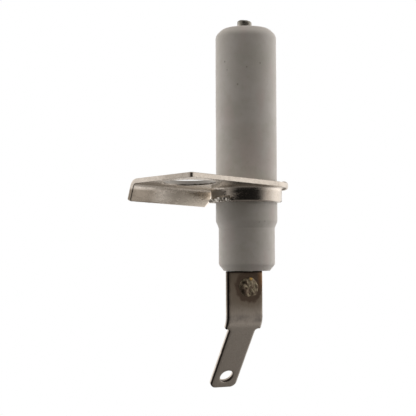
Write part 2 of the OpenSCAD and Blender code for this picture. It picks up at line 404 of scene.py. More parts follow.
class Nodes:
    """Short ways to add shader nodes to a tree.  self.place is the vector that textures read."""

    def __init__(self, tree):
        self.tree = tree
        self.place = None

    def add(self, kind, inputs=None, **settings):
        made = self.tree.nodes.new("ShaderNode" + kind)
        for key, value in settings.items():
            setattr(made, key, value)
        for key, value in (inputs or {}).items():
            if isinstance(value, bpy.types.NodeSocket):
                self.tree.links.new(value, made.inputs[key])
            else:
                made.inputs[key].default_value = value
        return made

    def stretched(self, scale):
        """The place, scaled along each axis, for streaks."""
        return self.add("VectorMath", {0: self.place, 1: scale}, operation="MULTIPLY").outputs[0]

    def noise(self, scale, detail=3, rough=0.5, place=None, distortion=0):
        return self.add("TexNoise", {"Vector": place or self.place, "Scale": scale, "Detail": detail,
                                     "Roughness": rough, "Distortion": distortion}).outputs[0]

    def cells(self, scale, feature="F1", place=None):
        return self.add("TexVoronoi", {"Vector": place or self.place, "Scale": scale},
                        feature=feature).outputs["Distance"]

    def band(self, value, low, high, to_low=0.0, to_high=1.0, smooth=True):
        """The value's stretch low..high mapped to to_low..to_high, and held outside it."""
        kind = "SMOOTHSTEP" if smooth else "LINEAR"
        made = self.add("MapRange", {"Value": value, "From Min": low, "From Max": high,
                                     "To Min": to_low, "To Max": to_high}, interpolation_type=kind)
        return made.outputs[0]

    def math(self, operation, a, b=0.0):
        return self.add("Math", {0: a, 1: b}, operation=operation).outputs[0]

    def times(self, a, b):
        return self.math("MULTIPLY", a, b)

    def blend(self, factor, a, b):
        """Numbers a and b mixed; each is a number or a socket."""
        return self.add("Mix", {0: factor, 2: a, 3: b}).outputs[0]

    def mix(self, factor, a, b, blend="MIX"):
        """Colours a and b mixed; each is an (r, g, b) colour or a socket."""
        made = self.add("Mix", data_type="RGBA", blend_type=blend)
        for socket, value in ((made.inputs[0], factor), (made.inputs[6], a), (made.inputs[7], b)):
            if isinstance(value, bpy.types.NodeSocket):
                self.tree.links.new(value, socket)
            else:
                socket.default_value = (*value, 1) if isinstance(value, tuple) else value
        return made.outputs[2]

    def axis(self, index):
        return self.add("SeparateXYZ", {0: self.place}).outputs[index]

    def cut_depth(self, uneven):
        """How deep in a sheet's edge the point lies: 0 at its upper or front face, 1 at the other.

        On the edge's wall the value wanders by up to uneven either way.
        """
        depth = self.add("Attribute", attribute_name="cut").outputs["Fac"]
        on_wall = self.between(depth, 0.15, 0.85, 0.14)
        wander = self.band(self.noise(1.6, 3), 0.3, 0.7, -uneven, uneven)
        return self.math("ADD", depth, self.times(on_wall, wander))

    def between(self, value, low, high, soft):
        """1 where the value lies between low and high, fading to 0 over a stretch soft outside."""
        rise = self.band(value, low - soft, low)
        return self.times(rise, self.band(value, high, high + soft, 1, 0))

    def distance(self, point):
        """Distance in millimetres from a point given in metres."""
        there = tuple(c / MM for c in point)
        return self.add("VectorMath", {0: self.place, 1: there}, operation="DISTANCE").outputs["Value"]

    def along(self, point, direction):
        """Signed distance in millimetres from a point given in metres, along a direction."""
        there = tuple(c / MM for c in point)
        off = self.add("VectorMath", {0: self.place, 1: there}, operation="SUBTRACT").outputs[0]
        made = self.add("VectorMath", {0: off, 1: tuple(direction)}, operation="DOT_PRODUCT")
        return made.outputs["Value"]

    def from_axis(self):
        """Distance in millimetres from the ceramic's axis."""
        level = self.add("VectorMath", {0: self.place, 1: (1, 1, 0)}, operation="MULTIPLY").outputs[0]
        return self.add("VectorMath", {0: level}, operation="LENGTH").outputs["Value"]


class Paint(Nodes):
    """One procedural material.  Lengths inside it are in millimetres of the row frame."""

    def __init__(self, name):
        self.material = bpy.data.materials.new(name)
        self.material.use_nodes = True
        super().__init__(self.material.node_tree)
        self.shader = self.tree.nodes["Principled BSDF"]
        row = self.add("TexCoord").outputs["Object"]
        self.place = self.add("VectorMath", {0: row, "Scale": 1000}, operation="SCALE").outputs[0]

    def finish(self, colour, roughness, height=None, relief=0.02, **others):
        """Links the results to the shader.  relief is the bump's depth in millimetres.

        others are further shader inputs, each a value or a socket, with _ for a space in the name.
        """
        self.tree.links.new(colour, self.shader.inputs["Base Color"])
        self.tree.links.new(roughness, self.shader.inputs["Roughness"])
        if height is not None:
            bump = self.add("Bump", {"Height": height, "Distance": relief * MM, "Strength": 1.0})
            self.tree.links.new(bump.outputs[0], self.shader.inputs["Normal"])
        for key, value in others.items():
            socket = self.shader.inputs[key.replace("_", " ")]
            if isinstance(value, bpy.types.NodeSocket):
                self.tree.links.new(value, socket)
            else:
                socket.default_value = value
        return self.material


# ---------------------------------------------------------------- materials

# Firing specks on the barrel's front: turn from the camera in degrees, height and radius in mm
SPECKS = ((-45, 19.5, 0.22), (0, 18.4, 0.17), (26, 19.1, 0.17), (-17, 15.6, 0.2), (-39, 18.1, 0.15))


def alumina():
    """Fired, unglazed alumina: warm off-white, fine grain, a few dark firing specks."""
    p = Paint("alumina_ceramic")
    clouds = p.noise(0.22, 3)
    grain = p.noise(7, 4, 0.7)
    colour = p.mix(p.band(clouds, 0.35, 0.65), (0.79, 0.77, 0.725), (0.86, 0.84, 0.81))
    tinge = p.noise(0.35, 2, place=p.stretched((1, 1, 0.4)))
    colour = p.mix(p.band(tinge, 0.48, 0.68, 0, 0.5), colour, (0.84, 0.755, 0.73))
    colour = p.mix(p.band(p.noise(0.28, 3, 0.6), 0.5, 0.68, 0, 0.5), colour, (0.74, 0.745, 0.68))
    colour = p.mix(p.band(p.noise(1.1, 3, 0.6), 0.5, 0.75, 0, 0.3), colour, (0.70, 0.66, 0.60))
    colour = p.mix(p.band(grain, 0.3, 0.7, 0.10, 0), colour, (0.55, 0.52, 0.48))
    spot_size = p.band(p.noise(0.8, 2), 0.45, 0.7, 0.0, 0.11)
    specks = p.math("LESS_THAN", p.cells(0.42), spot_size)
    colour = p.mix(p.times(specks, 0.3), colour, (0.38, 0.34, 0.30))
    for turn, up, size in SPECKS:
        off = sin(radians(turn)) * TO_RIGHT + cos(radians(turn)) * TO_CAMERA
        away = p.distance(off * BARREL_R + Vector((0, 0, up * MM)))
        colour = p.mix(p.band(away, size * 0.5, size, 0.42, 0), colour, (0.26, 0.23, 0.20))
    roughness = p.band(grain, 0.3, 0.7, 0.42, 0.6)
    height = p.math("ADD", p.times(grain, 0.35), p.noise(1.6, 2))
    return p.finish(colour, roughness, height, 0.012, Specular_IOR_Level=0.45)


def cement(name, dark, light):
    """Refractory cement: gritty and uneven, with open pores."""
    p = Paint(name)
    lumps = p.noise(2.5, 4, 0.65)
    grit = p.cells(7)
    colour = p.mix(p.band(lumps, 0.3, 0.7), dark, light)
    colour = p.mix(p.band(grit, 0.05, 0.35, 0.35, 0), colour, tuple(c * 0.45 for c in dark))
    height = p.math("ADD", lumps, p.times(grit, 0.5))
    return p.finish(colour, p.band(grit, 0, 0.6, 0.75, 0.95), height, 0.08, Specular_IOR_Level=0.25)


def heat_resistant_rod():
    """Resistance-alloy rod: dull grey-green oxide, drawn lines, sooty and pitted at the spark tip."""
    p = Paint("rod_alloy_oxidised")
    lines = p.noise(6, 3, 0.6, place=p.stretched((3, 3, 0.25)))
    blotch = p.noise(1.3, 4, 0.6)
    colour = p.mix(p.band(lines, 0.3, 0.7), (0.36, 0.35, 0.31), (0.56, 0.54, 0.49))
    colour = p.mix(p.band(blotch, 0.5, 0.7, 0, 0.7), colour, (0.14, 0.13, 0.11))
    soot = p.band(p.along(ROD_HIGH, (0, 0, 1)), -1.6, 0.0, 0.1, 0.5)
    colour = p.mix(p.times(soot, p.band(blotch, 0.3, 0.6)), colour, (0.05, 0.045, 0.04))
    roughness = p.band(p.noise(4, 3), 0.3, 0.7, 0.26, 0.46)
    height = p.math("ADD", p.times(lines, 0.4), p.noise(9, 3, 0.7))
    return p.finish(colour, roughness, height, 0.03, Metallic=1.0)


def cut_bands(p, colour, depth, in_hole):
    """Dark bands on the hole's wall and on the lip's two sheared ends: the broken zones of the sheared
    edges, deepened by painted shade; the hole's band fades out towards the view's left.
    """
    fracture_and_shade = p.times(in_hole, p.between(depth, 0.76, 0.96, 0.05))
    # Painted shade: the hole's band kept towards the view's right only.
    fracture_and_shade = p.times(fracture_and_shade, p.band(p.along(HOLE_ROW, TO_RIGHT), -2.5, 0.0))
    low_left = p.times(p.band(p.axis(2), -2.1, -1.7, 1, 0), p.band(p.axis(0), -6.2, -5.8, 1, 0))
    outer_end = p.band(p.axis(1), -TAB_LEN / MM + 1.0, -TAB_LEN / MM + 1.4, 1, 0)
    inner_end = p.band(p.axis(1), -4.2, -3.6)
    sheared = p.math("ADD", p.times(p.between(depth, 0.50, 0.60, 0.08), outer_end),
                     p.times(p.between(depth, 0.22, 0.88, 0.08), inner_end))
    dark = p.math("MAXIMUM", fracture_and_shade, p.times(sheared, low_left))
    return p.mix(p.times(dark, 0.9), colour, (0.10, 0.08, 0.06))


def collar_finish_and_shade(p, colour, roughness, collar):
    """Burnished collar: duller at its left, with painted shade on its right as the view sees it, and
    pale where its rim is torn.
    """
    across = p.along((0, 0, 0), TO_RIGHT)
    burnished = p.band(p.noise(2.2, 4, 0.6, place=p.stretched((1, 1, 2))), 0.35, 0.7, 0.11, 0.24)
    burnished = p.math("ADD", burnished, p.band(across, -5.6, -2.4, 0.30, 0))
    roughness = p.blend(collar, roughness, burnished)
    radius = p.from_axis()
    burr = p.times(p.band(radius, 5.90, 6.02), p.band(radius, 6.5, 6.7, 1, 0))
    burr = p.times(burr, p.band(p.axis(2), -2.6, -2.35, 1, 0))
    colour = p.mix(burr, colour, (0.92, 0.89, 0.83))
    # Painted shade: the collar darkened towards the view's right.
    collar_right_painted_shade = p.times(collar, p.band(across, 1.5, 4.5, 0, 0.45))
    return p.mix(collar_right_painted_shade, colour, (0.36, 0.325, 0.285)), p.blend(burr, roughness, 0.42)


def lip_finish_and_light(p, colour, roughness):
    """The lip below its bend: darker near the tab's end, lifted by painted light towards the collar
    where its corner lies in shade, and rubbed all over.
    """
    on_lip = p.times(p.band(p.axis(2), -1.9, -1.4, 1, 0), p.band(p.axis(0), -5.9, -5.2, 1, 0))
    # Darker towards the tab's end.
    darker_to_tab_end = p.times(on_lip, p.band(p.axis(1), -16.0, -11.3, 0.82, 0.0))
    colour = p.mix(darker_to_tab_end, colour, (0.22, 0.185, 0.145))
    # Painted light: the lip's colour made paler towards the collar, standing in for light that its
    # shaded corner misses.
    bright = p.times(on_lip, p.band(p.axis(1), -17.0, -8.0))
    colour = p.mix(bright, colour, (0.97, 0.91, 0.83))
    rubbed = p.band(p.noise(1.5, 4, 0.6, place=p.stretched((1, 0.4, 1))), 0.35, 0.7, 0.20, 0.32)
    return colour, p.blend(on_lip, roughness, rubbed)


def flange_steel():
    """Bright rolled steel: rolling streaks along the tab, scuffs, sheared edges, burnished collar, with
    painted shade on the tab's end and the collar, painted light on the lip and a painted reflection in
    the hole.
    """
    p = Paint("flange_steel_rolled")
    streaks = p.noise(4, 4, 0.65, place=p.stretched((3.2, 0.22, 3.2)))
    scuffs = p.noise(1.1, 5, 0.7, distortion=0.6)
    fine = p.noise(9, 3, 0.7)
    pits = p.times(p.band(p.cells(2.6), 0.02, 0.10, 1, 0), p.band(p.noise(0.9, 2), 0.5, 0.6))
    colour = p.mix(p.band(streaks, 0.3, 0.7), (0.70, 0.64, 0.57), (0.78, 0.73, 0.67))
    colour = p.mix(p.band(scuffs, 0.52, 0.72, 0, 0.5), colour, (0.52, 0.465, 0.40))
    colour = p.mix(p.times(pits, 0.7), colour, (0.16, 0.13, 0.10))
    roughness = p.math("ADD", p.band(scuffs, 0.35, 0.7, 0.22, 0.40), p.band(fine, 0.3, 0.7, -0.04, 0.06))

    depth = p.cut_depth(0.06)
    in_hole = p.band(p.distance(HOLE_ROW), HOLE_R / MM + 0.03, HOLE_R / MM + 0.09, 1, 0)
    colour = cut_bands(p, colour, depth, in_hole)
    # The hole's burnish band, made pale and mostly non-metal: a painted reflection of the bright
    # backdrop.
    burnish_and_painted_reflection = p.times(in_hole, p.between(depth, 0.04, 0.70, 0.04))
    colour = p.mix(burnish_and_painted_reflection, colour, (0.86, 0.84, 0.81))
    roughness = p.blend(burnish_and_painted_reflection, roughness, 0.7)
    # Painted shade along the tab's end edge.
    tab_end_painted_shade = p.times(p.band(p.axis(1), -TAB_LEN / MM + 0.1, -TAB_LEN / MM + 0.3, 1, 0),
                         p.band(p.axis(0), -3.0, 5.0, 0, 0.3))
    colour = p.mix(tab_end_painted_shade, colour, (0.25, 0.22, 0.20))

    collar = p.times(p.band(p.from_axis(), 6.1, 6.5, 1, 0), p.band(p.axis(2), -1.75, -1.5, 1, 0))
    colour, roughness = collar_finish_and_shade(p, colour, roughness, collar)
    colour, roughness = lip_finish_and_light(p, colour, roughness)
    # Edge walls darker on the +X side; on the collar's rim face this is a painted shadow line of the gap
    # under the rim.
    walls = p.times(p.between(depth, 0.10, 0.90, 0.08), p.band(p.axis(0), 0.0, 2.0, 0, 0.5))
    walls = p.times(walls, p.math("SUBTRACT", 1.0, in_hole))
    colour = p.mix(walls, colour, (0.44, 0.40, 0.35))
    height = p.math("ADD", p.times(streaks, 0.7), p.times(fine, 0.25))
    height = p.math("SUBTRACT", height, p.times(pits, 0.8))
    height = p.times(height, p.band(collar, 0, 1, 1, 0.5))
    metallic = p.math("SUBTRACT", 1.0, p.times(burnish_and_painted_reflection, 0.75))
    return p.finish(colour, roughness, height, 0.016, Metallic=metallic)


def heat_tint_and_contact_shadow(p, colour, away, down):
    """Brown rings round the weld, a dark line under the ceramic that is painted contact shadow over the
    tinted top edge, and straw at the blade's right edge.
    """
    colour = p.mix(p.band(away, 3.0, 3.9, 0.6, 1.0), (0.25, 0.20, 0.155), colour)
    colour = p.mix(p.band(away, 2.4, 2.95), (0.135, 0.10, 0.075), colour)
    # Painted contact shadow: the blade's top edge darkened under the ceramic, over its tint.
    colour = p.mix(p.band(down, 0.08, 0.4, 0.75, 0), colour, (0.03, 0.022, 0.016))
    straw = p.times(p.band(p.along(WELD_AT, BLADE_ACROSS), 1.3, 2.3),
                    p.band(p.along(WELD_AT, (0, 0, 1)), -1.2, 1.4, 0, 0.3))
    return p.mix(straw, colour, (0.52, 0.26, 0.09))


def blade_steel():
    """Terminal strip: grey steel with rolling marks, sheared edges, a brown heat tint at the weld and a
    painted contact shadow under the ceramic.
    """
    p = Paint("blade_steel_tint_and_shadow")
    streaks = p.noise(5, 4, 0.6, place=p.stretched((3.0, 3.0, 0.25)))
    scuffs = p.noise(1.2, 4, 0.65, distortion=0.4)
    colour = p.mix(p.band(streaks, 0.3, 0.7), (0.58, 0.525, 0.47), (0.72, 0.67, 0.61))
    colour = p.mix(p.band(scuffs, 0.5, 0.72, 0, 0.5), colour, (0.46, 0.40, 0.345))
    down = p.along(Vector((0, 0, BLADE_TOP)), (0, 0, -1))
    colour = p.mix(p.band(down, 4.5, 9.0, 0.95, 0), colour, (0.26, 0.222, 0.178))
    colour = p.mix(p.band(down, 0.5, 4.5, 0.45, 0), colour, (0.13, 0.10, 0.07))
    smudge = p.times(p.between(down, 7.5, 8.0, 0.8), p.band(p.noise(0.5, 3), 0.4, 0.6, 0.25, 0.7))
    colour = p.mix(smudge, colour, (0.23, 0.212, 0.20))
    colour = p.mix(p.between(p.cut_depth(0.04), 0.07, 0.50, 0.05), colour, (0.03, 0.024, 0.02))
    ragged = p.band(p.noise(0.8, 4, 0.6), 0.25, 0.75, -0.3, 0.3, smooth=False)
    away = p.math("ADD", p.distance(TINT_AT), ragged)
    colour = heat_tint_and_contact_shadow(p, colour, away, down)
    roughness = p.math("ADD", p.band(away, 1.5, 4.0, 0.48, 0.33), p.band(scuffs, 0.35, 0.7, -0.05, 0.10))
    height = p.math("ADD", p.times(streaks, 0.6), p.times(p.noise(8, 3, 0.7), 0.3))
    return p.finish(colour, roughness, height, 0.014, Metallic=1.0)


def weld_metal():
    """Fused weld: glassy dark scale with paler olive and pinkish patches and a painted straw-yellow
    glint.
    """
    p = Paint("weld_scale")
    patches = p.noise(1.1, 3, 0.6, distortion=0.8)
    fine = p.noise(4, 4, 0.7)
    colour = p.mix(p.band(patches, 0.42, 0.60), (0.15, 0.115, 0.085), (0.36, 0.315, 0.225))
    colour = p.mix(p.band(fine, 0.55, 0.75, 0, 0.5), colour, (0.42, 0.33, 0.28))
    # Painted highlight: a straw-yellow glint on the weld.
    painted_glint = p.band(p.distance(WELD_GLINT_AT), 0.1, 0.42, 0.9, 0)
    colour = p.mix(painted_glint, colour, (0.90, 0.58, 0.16))
    roughness = p.band(fine, 0.3, 0.7, 0.30, 0.52)
    height = p.math("ADD", patches, p.times(fine, 0.4))
    return p.finish(colour, roughness, height, 0.045, Metallic=1.0)


# ---------------------------------------------------------------- pieces

def build_ceramic():
    """Ceramic tube with softly rounded shoulders, cement groove, pockets and bore."""
    upper_floor = UPPER_SEAL_LOW.z
    lower_floor = LOWER_SEAL_HIGH.z
    top, bottom = CERAMIC_HIGH.z, CERAMIC_LOW.z
    corners = [
        (POCKET_R, top, 0.15 * MM), (CROWN_R, top, 1.25 * MM), (BARREL_R, BARREL_TOP, 1.3 * MM),
        (BARREL_R, 0, 0.08 * MM), (GROOVE_R, 0, 0.05 * MM), (GROOVE_R, GROOVE_BOTTOM, 0.05 * MM),
        (SEAT_R, GROOVE_BOTTOM, 0.08 * MM), (SEAT_R, SEAT_BOTTOM, 0.5 * MM),
        (NECK_R, TAPER_BOTTOM, 0.6 * MM), (NECK_R, NECK_BOTTOM, 0.55 * MM),
        (FOOT_R, bottom, 0.12 * MM), (POCKET_R, bottom, 0.12 * MM), (POCKET_R, lower_floor, 0),
        (BORE_R, lower_floor, 0), (BORE_R, upper_floor, 0), (POCKET_R, upper_floor, 0)]

    def uneven(r, z, angle):
        if r < CROWN_R:
            return r, z
        p = (r * cos(angle), r * sin(angle), z * 0.6)
        return r + 0.018 * MM * fbm(p, 3 * MM, 2) - 0.012 * MM, z

    shell = Shell()
    lathe(shell, resample(rounded(corners), 0.4 * MM), 144, uneven)
    shell.mesh_object("insulator_tube", "ceramic_insulator", alumina())


def build_rod():
    """Round rod: worn, slanted and pitted tip, and a flat at the tail where the blade lies."""
    tip, tail = ROD_HIGH.z, ROD_LOW.z
    corners = [(0.2 * ROD_R, tail, 0), (ROD_R, tail, 0.15 * MM),
               (ROD_R, tip, 0.3 * MM), (0.15 * ROD_R, tip, 0)]
    centre_behind = (BLADE_FROM_ROW @ Vector((ROD_X, ROD_Y, 0))).y

    def worn(r, z, angle):
        out = Vector((cos(angle), sin(angle), 0))
        behind = (BLADE_FROM_ROW @ out).y
        if z < BLADE_TOP and behind < 0:
            r = min(r, centre_behind / -behind)
        near_tip = max(0, 1 - (tip - z) / (0.9 * MM))
        p = (r * out.x, r * out.y, z)
        pits = max(0, fbm(p, 0.45 * MM, 3))
        slant = max(0, r * out.dot(TO_RIGHT) + 0.1 * MM) * 0.15
        r -= (0.012 + 0.10 * near_tip) * MM * pits
        return r, z - near_tip * (slant + 0.09 * MM * pits)

    shell = Shell()
    lathe(shell, resample(rounded(corners, closed=False), 0.16 * MM, closed=False), 72, worn,
          (ROD_X, ROD_Y), closed=False)
    shell.mesh_object("spark_rod", "electrode_rod", heat_resistant_rod(), 60)


def build_seal(name, node, face, floor, material):
    """Cement packed in a pocket round the rod.  Its face sags between rod and ceramic and is lumpy."""
    shell = Shell()
    segments = 72
    rings = []
    outward = 1 if face > floor else -1
    rod_to_ceramic = [0, 0.12, 0.25, 0.4, 0.55, 0.7, 0.85, 1]
    for level, shares in ((face, rod_to_ceramic), (floor, [1, 0])):
        for w in shares:
            r = ROD_R * 0.99 * (1 - w) + POCKET_R * w
            points = []
            for i in range(segments):
                a = 2 * pi * i / segments
                x = ROD_X * (1 - w) + r * cos(a)
                y = ROD_Y * (1 - w) + r * sin(a)
                sag = 0
                if level == face:
                    sag = 0.16 * MM * sin(pi * w) + 0.07 * MM * (1 + fbm((x, y, face), 0.5 * MM))
                points.append((x, y, level - outward * sag))
            rings.append(shell.ring(points))
    shell.bridge_all(rings, closed=True)
    shell.mesh_object(name, node, material, 60)


def build_collar_cement():
    """Cement film in the collar, squeezed up into the groove above it."""
    low, high = COLLAR_CEMENT_LOW.z, COLLAR_CEMENT_HIGH.z
    crest = high + 0.24 * MM
    corners = [(SEAT_R, low, 0), (COLLAR_BORE_R, low, 0.04 * MM), (COLLAR_BORE_R + 0.12 * MM, high, 0),
               (COLLAR_BORE_R + 0.05 * MM, high + 0.16 * MM, 0.1 * MM), (BARREL_R + 0.02 * MM, crest, 0),
               (GROOVE_R, crest, 0), (GROOVE_R, GROOVE_BOTTOM, 0), (SEAT_R, GROOVE_BOTTOM, 0)]

    def squeezed(r, z, angle):
        if z <= high or r <= GROOVE_R:
            return r, z
        p = (r * cos(angle), r * sin(angle), z)
        return r + 0.05 * MM * fbm(p, 0.8 * MM), z + 0.09 * MM * fbm(p, 0.9 * MM)

    shell = Shell()
    lathe(shell, resample(rounded(corners, steps=3), 0.2 * MM), 180, squeezed)
    paint = cement("collar_cement_grey", (0.34, 0.32, 0.29), (0.50, 0.47, 0.43))
    shell.mesh_object("collar_cement_ring", "collar_cement", paint, 60)


def sheet_to_row(x, y, z):
    return SHEET_TILT @ Vector((x, y, z)) + Vector((0, 0, SHEET_TOP))


def on_flange(x, y, depth):
    """Place of a point of the flange's flat pattern, at a depth below its upper face."""
    run = LIP_BEND_X - x
    on_lip = run > 0 and (y < SLIT_Y or (run > LIP_REACH_RUN and y < LIP_REACH_Y))
    if not on_lip:
        knob, share = edge_knob(x, y), depth / SHEET_T
        swell = 1 + knob * (0.3 - 1.2 * (2 * share - 1) ** 4) / (8 * MM)
        return sheet_to_row(x * swell, y * swell, knob * (1 - 1.8 * share) - depth)
    turn = min(run, LIP_ARC) / LIP_MID_R
    r = LIP_OUTER_R - depth
    drop = max(0, run - LIP_ARC)
    return sheet_to_row(LIP_BEND_X - r * sin(turn) - drop * cos(turn), y,
                        -LIP_OUTER_R + r * cos(turn) - drop * sin(turn))


def edge_knob(x, y):
    """Height of the rounded burr on the round end's edge, left by the shearing of the blank."""
    off = hypot(x - KNOB_REACH * cos(KNOB_AT), y - KNOB_REACH * sin(KNOB_AT))
    return KNOB_H * exp(-(off / KNOB_R) ** 4)


def flange_outline(lip_end, corner_y):
    """Flat pattern, anticlockwise: plain edge, round end, slit, the lip's sheared end, tab end.

    lip_end is (run past the bend line, y, radius) in millimetres, and corner_y the free corner.
    """
    round_end = [(x, y, 0) for x, y in arc(0, 0, FLANGE_R, 0, 192.7, 60)]
    free = LIP_BEND_X - LIP_LENGTH
    slit_x = LIP_BEND_X + 0.02 * MM
    slit = [(slit_x, SLIT_Y + 0.03 * MM, 0), (slit_x, SLIT_Y - 0.04 * MM, 0)]
    end = [(LIP_BEND_X - run * MM, y * MM, r * MM) for run, y, r in lip_end]
    return rounded([(FLANGE_R, -TAB_LEN, 0.4 * MM)] + round_end + slit + end
                   + [(free, corner_y * MM, 0.15 * MM), (free, -TAB_LEN, 0.3 * MM)], steps=5)


def paired(upper, lower, gap):
    """Resamples two outlines of equal corner count so that their points still match."""
    a, b = [], []
    n = len(upper)
    for i in range(n):
        p, q = Vector(upper[i]), Vector(upper[(i + 1) % n])
        s, t = Vector(lower[i]), Vector(lower[(i + 1) % n])
        longest = max((q - p).length, (t - s).length)
        if longest < gap * 1e-3:
            continue
        parts = max(1, round(longest / gap))
        a += [tuple(p.lerp(q, k / parts)) for k in range(parts)]
        b += [tuple(s.lerp(t, k / parts)) for k in range(parts)]
    return a, b


def share_of(value, whole):
    """value / whole, held between 0 and 1."""
    return min(1, max(0, value / whole))


def torn(angle, z):
    """How far the drawn rim is torn and pushed out, 0 to 1, at a place on the collar."""
    turn = (degrees(angle) + 90 + 180) % 360 - 180
    ends = share_of(turn - TEAR_START, TEAR_START_FADE) * share_of(TEAR_END - turn, TEAR_END_FADE)
    top = COLLAR_RIM + (0.62 + 0.4 * (turn + 50) / 70) * MM
    return ends * share_of(top - z, 0.2 * MM)


def torn_place(angle, r, z, lift):
    """Radius and height of a point of the collar's outer wall, moved where the rim is torn."""
    tear = torn(angle, z)
    lump = noise.noise(Vector((angle * 9, z / (0.5 * MM), 0.3)))
    fine = noise.noise(Vector((angle * 24, z / (0.22 * MM), 2.3)))
    r += tear * (0.26 + 0.38 * lump + 0.26 * fine) * MM - tear * 0.8 * lift
    r += 0.02 * MM * noise.noise(Vector((4 * cos(angle), 4 * sin(angle), z / MM)))
    z += tear * 0.16 * MM * noise.noise(Vector((angle * 14, 1.1, z / (0.6 * MM))))
    return r, z


def collar_wall(shell, start, heights, radius, outside):
    """Rings down the collar from the ring start to the rim, with torn metal on its outside."""
    rings = []
    for share, offset in heights:
        points = []
        for i in start:
            x, y, z0 = shell.verts[i]
            angle = atan2(y, x)
            z = z0 + (COLLAR_RIM - z0) * share
            r = radius + offset * MM
            if outside:
                r, z = torn_place(angle, r, z, offset * MM)
            points.append((r * cos(angle), r * sin(angle), z))
        rings.append(shell.ring(points, 1.0 if outside else 0.0))
    return rings


def drawn_fillet(shell, radius, fillet, depth, steps, cut=0.0):
    """Rings of the round stretch from the sheet's face into the collar, and its first flat loop."""
    rings = []
    loops = []
    for k in range(steps + 1):
        a = pi / 2 * k / steps
        loops.append(circle(0, 0, radius + fillet * (1 - sin(a)), COLLAR_SEGMENTS))
        below = depth + fillet * (1 - cos(a))
        rings.append(shell.ring([on_flange(x, y, below) for x, y in loops[-1]], cut))
    return rings, loops[0]


def build_flange():
    """Stamped flange: bent lip with a sheared slanted end, fixing hole and collar drawn down."""
    shell = Shell()
    edge, hole_edge = (0.13 * MM, 0.13 * MM), (0.12 * MM, 0.12 * MM)
    upper, lower = paired(flange_outline(OUTER_END, -2.0), flange_outline(INNER_END, -3.0), 0.3 * MM)
    top, bottom = sheet_edge(shell, upper, lower, SHEET_T, edge, on_flange, 0.03 * MM)
    hole = circle(HOLE_AT.x, HOLE_AT.y, HOLE_R, 120)[::-1]
    hole_top, hole_bottom = sheet_edge(shell, hole, hole, SHEET_T, hole_edge, on_flange)
    inner, inner_loop = drawn_fillet(shell, COLLAR_BORE_R, COLLAR_DRAW_R, 0, 6)
    outer, outer_loop = drawn_fillet(shell, COLLAR_R, COLLAR_FILLET, SHEET_T, 7, 1.0)
    wall = collar_wall(shell, outer[-1], COLLAR_WALL, COLLAR_R, True)
    bore = collar_wall(shell, inner[-1], COLLAR_BORE_WALL, COLLAR_BORE_R, False)
    shell.bridge_all(inner + bore + wall[::-1] + outer[::-1])
    fill(shell, [top, hole_top, (inner[0], inner_loop)], lambda x, y: on_flange(x, y, 0), 0.5 * MM)
    fill(shell, [bottom, hole_bottom, (outer[0], outer_loop)],
         lambda x, y: on_flange(x, y, SHEET_T), 0.5 * MM, 1.0)
    shell.mesh_object("flange_sheet", "mounting_flange", flange_steel(), 38)


def on_blade(x, y, depth):
    """Place of a point of the blade's flat pattern: y is 0 at its top and falls along the strip."""
    run = -y
    r = BLADE_BEND_R + BLADE_T - depth
    turn = min(max(0, run - BLADE_STRAIGHT), BEND_RUN) / BEND_MID_R
    behind = BLADE_BEND_R - r * cos(turn)
    z = BLADE_TOP - min(run, BLADE_STRAIGHT) - r * sin(turn)
    past = max(0, run - BLADE_STRAIGHT - BEND_RUN)
    behind += past * sin(BLADE_BEND)
    z -= past * cos(BLADE_BEND)
    return BLADE_TO_ROW @ Vector((x + BLADE_SHIFT, behind, z))


def build_blade():
    """Terminal strip: square head, bend, shoulders and a push-on tongue with its latching hole."""
    half = BLADE_W / 2
    right = TONGUE_W / 2
    left = -right - TONGUE_EXTRA
    outline = rounded([
        (-half, BLADE_RISE, 0.12 * MM), (-half, -SHOULDER_AT, 0.2 * MM),
        (left, -SHOULDER_AT, 0.5 * MM), (left, -BLADE_END, 1.1 * MM),
        (right, -BLADE_END, 1.1 * MM), (right, -SHOULDER_AT, 0.5 * MM),
        (half, -SHOULDER_AT, 0.2 * MM), (half, BLADE_RISE, 0.12 * MM)], steps=7)
    outline = resample(outline, 0.3 * MM)
    hole = circle(0, -BLADE_END + LATCH_INSET, LATCH_R, 64)[::-1]
    shell = Shell()
    edge, hole_edge = (0.28 * MM, 0.09 * MM), (0.12 * MM, 0.10 * MM)
    front, back = sheet_edge(shell, outline, outline, BLADE_T, edge, on_blade, 0.012 * MM)
    hole_front, hole_back = sheet_edge(shell, hole, hole, BLADE_T, hole_edge, on_blade)
    fill(shell, [front, hole_front], lambda x, y: on_blade(x, y, 0), 0.35 * MM)
    fill(shell, [back, hole_back], lambda x, y: on_blade(x, y, BLADE_T), 0.35 * MM, 1.0)
    shell.mesh_object("terminal_strip", "terminal_blade", blade_steel(), 35)


def build_weld():
    """Low lumpy puddle where blade and rod are fused together."""
    shell = Shell()
    rings = []
    steps, segments = 14, 56
    for k in range(1, steps + 1):
        w = k / steps
        points = []
        for i in range(segments):
            a = 2 * pi * i / segments
            edge = 1 + 0.16 * fbm((cos(a), sin(a), 4.2), 0.9)
            x = WELD_WIDE * w * edge * cos(a) - 0.25 * MM
            z = WELD_TALL * w * edge * sin(a)
            dome = 0.10 * MM * sqrt(max(0, 1 - w * w))
            lumps = 0.11 * MM * fbm((x, z, 0.4 * MM), 0.8 * MM, 3) * (1 - w ** 4)
            proud = BLADE_T + dome + lumps - 0.03 * MM * w ** 6
            points.append(BLADE_TO_ROW @ Vector((x, -proud, WELD_Z + z)))
        rings.append(shell.ring(points))
    rings.append(shell.ring([Vector(shell.verts[i]) + BLADE_BEHIND * 0.3 * MM for i in rings[-1]]))
    shell.bridge_all(rings)
    shell.cap(rings[0])
    shell.cap(rings[-1])
    shell.mesh_object("weld_bead", "weld_nugget", weld_metal(), 70)


# ---------------------------------------------------------------- camera, light, floor

